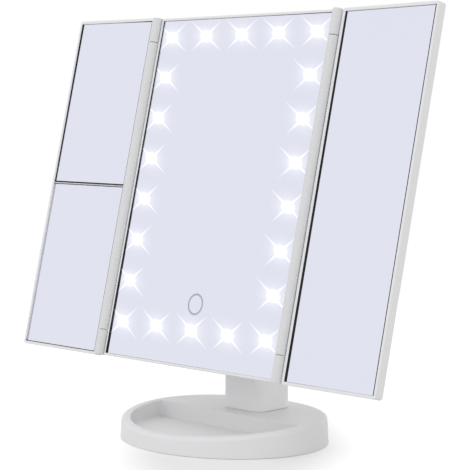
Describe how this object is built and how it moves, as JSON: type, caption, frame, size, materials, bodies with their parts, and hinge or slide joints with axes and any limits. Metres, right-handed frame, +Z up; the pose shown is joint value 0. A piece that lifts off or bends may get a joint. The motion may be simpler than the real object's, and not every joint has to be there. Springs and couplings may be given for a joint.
{
  "type": "trifold vanity mirror",
  "caption": "White trifold vanity mirror with a lit main glass, two folding side mirrors and a tilting neck on an oval base with a storage tray.",
  "frame": {"origin": "under the middle of the oval base, on the table", "axes": "+Z up, the mirrors face -Y, and +X is to the right of a person standing in front of the mirror"},
  "size_m": [0.3454, 0.1286, 0.2848],
  "materials": {
    "white_plastic": "satin white moulded plastic",
    "mirror_glass": "polished silvered glass",
    "steel": "zinc plated",
    "feet_rubber": "matte",
    "foam_tape": "matte black foam",
    "circuit_board": "solder mask",
    "light_chips": "emissive",
    "contact_brass": "plated",
    "grey_plastic": "satin",
    "cell_sleeve": "printed sleeve, plain"
  },
  "bodies": {
    "base": {"base_shell": "white_plastic", "base_bottom_plate": "white_plastic", "base_weight": "steel", "base_feet": "feet_rubber", "base_screws": "steel", "neck": "white_plastic", "neck_screws": "steel"},
    "panel": {"tilt_bolt": "steel", "tilt_nut": "steel", "friction_washers": "steel", "bolt_caps": "white_plastic", "main_frame": "white_plastic", "main_mirror": "mirror_glass", "main_tape": "foam_tape", "light_board": "circuit_board", "lights": "light_chips", "touch_pad": "contact_brass", "control_board": "circuit_board", "board_screws": "steel", "charging_socket": "steel", "power_switch": "grey_plastic", "rear_housing": "white_plastic", "housing_screws": "steel", "battery_contacts": "contact_brass", "battery_cells": "cell_sleeve", "left_hinge_pin": "steel", "right_hinge_pin": "steel"},
    "left_wing": {"left_frame": "white_plastic", "left_upper_mirror": "mirror_glass", "left_lower_mirror": "mirror_glass", "left_tape": "foam_tape", "left_back_cover": "white_plastic"},
    "right_wing": {"right_frame": "white_plastic", "right_mirror": "mirror_glass", "right_tape": "foam_tape", "right_back_cover": "white_plastic"},
    "door": {"battery_door": "white_plastic"},
    "knob": {"switch_knob": "grey_plastic"}
  },
  "joints": [
    {"name": "panel_tilt", "type": "hinge", "parent": "base", "child": "panel", "pos_m": [0, -0.0021, 0.0776], "axis": [1, 0, 0], "range_deg": [-76.7, 28.3]},
    {"name": "left_wing_fold", "type": "hinge", "parent": "panel", "child": "left_wing", "pos_m": [-0.0865, -0.00908, 0.16762], "axis": [0, 0.23, 0.9732], "range_deg": [-1, 179]},
    {"name": "right_wing_fold", "type": "hinge", "parent": "panel", "child": "right_wing", "pos_m": [0.0865, -0.00908, 0.16762], "axis": [0, -0.23, -0.9732], "range_deg": [-3, 177]},
    {"name": "battery_door_slide", "type": "slide", "parent": "panel", "child": "door", "axis": [0, 0.23, 0.9732], "range_m": [0, 0.03]},
    {"name": "power_switch_slide", "type": "slide", "parent": "panel", "child": "knob", "axis": [1, 0, 0], "range_m": [0, 0.003]}
  ]
}
